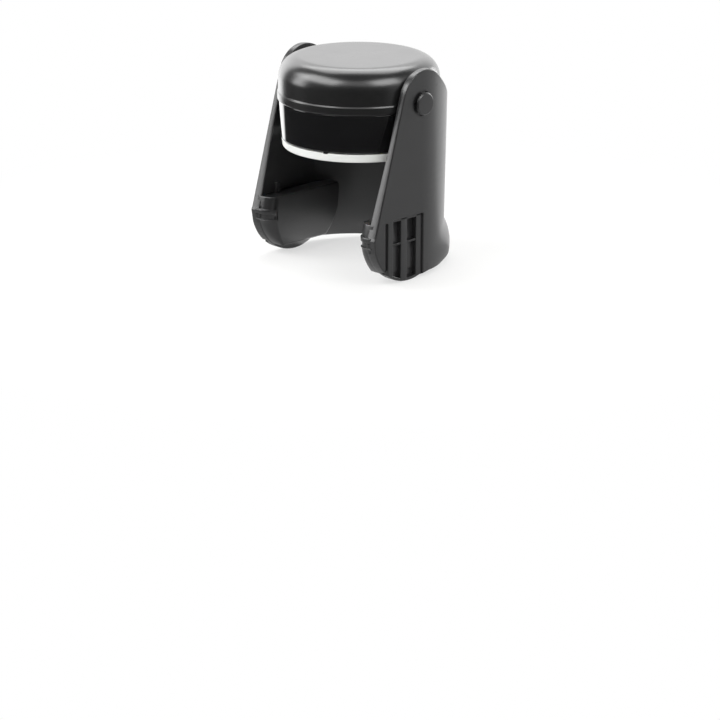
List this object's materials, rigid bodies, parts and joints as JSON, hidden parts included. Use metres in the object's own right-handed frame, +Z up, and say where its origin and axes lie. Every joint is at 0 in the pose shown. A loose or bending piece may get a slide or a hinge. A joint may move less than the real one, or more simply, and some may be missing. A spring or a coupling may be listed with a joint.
{
  "type": "champagne stopper",
  "caption": "Clamp-on stopper for a sparkling-wine bottle: a domed spring-loaded sealing cap with a hinged U-shaped lever whose arms hook under the bottle's collar.",
  "frame": {"origin": "centre of the seal's underside, where it rests on the bottle's mouth", "axes": "+Z up along the bottle, +X along the hinge pins, +Y towards the lever's back wall and thumb lip"},
  "size_m": [0.046, 0.0439, 0.0525],
  "materials": {
    "lid_plastic": "satin black moulded plastic",
    "body_plastic": "gloss black moulded plastic",
    "ring_plastic": "milky white, slightly translucent moulded plastic",
    "yoke_plastic": "satin black moulded plastic",
    "pin_plastic": "satin black moulded plastic",
    "seal_rubber": "soft white silicone",
    "spring_steel": "bright drawn stainless wire"
  },
  "bodies": {
    "cap": {"dome_lid": "lid_plastic", "cap_body": "body_plastic", "guide_ring": "ring_plastic", "hinge_pin_right": "pin_plastic", "hinge_pin_left": "pin_plastic", "seal_spring": "spring_steel"},
    "lever": {"yoke_lever": "yoke_plastic"},
    "seal": {"seal_disc": "seal_rubber", "seal_plunger": "body_plastic"}
  },
  "joints": [
    {"name": "yoke_swing", "type": "hinge", "parent": "cap", "child": "lever", "pos_m": [0, 0, 0.0048], "axis": [1, 0, 0], "range_deg": [0, 110]},
    {"name": "seal_press", "type": "slide", "parent": "cap", "child": "seal", "axis": [0, 0, 1], "range_m": [0, 0.0015], "stiffness_N_per_m": 2000, "springref_m": -0.0015, "deforming": ["seal_spring"]}
  ]
}
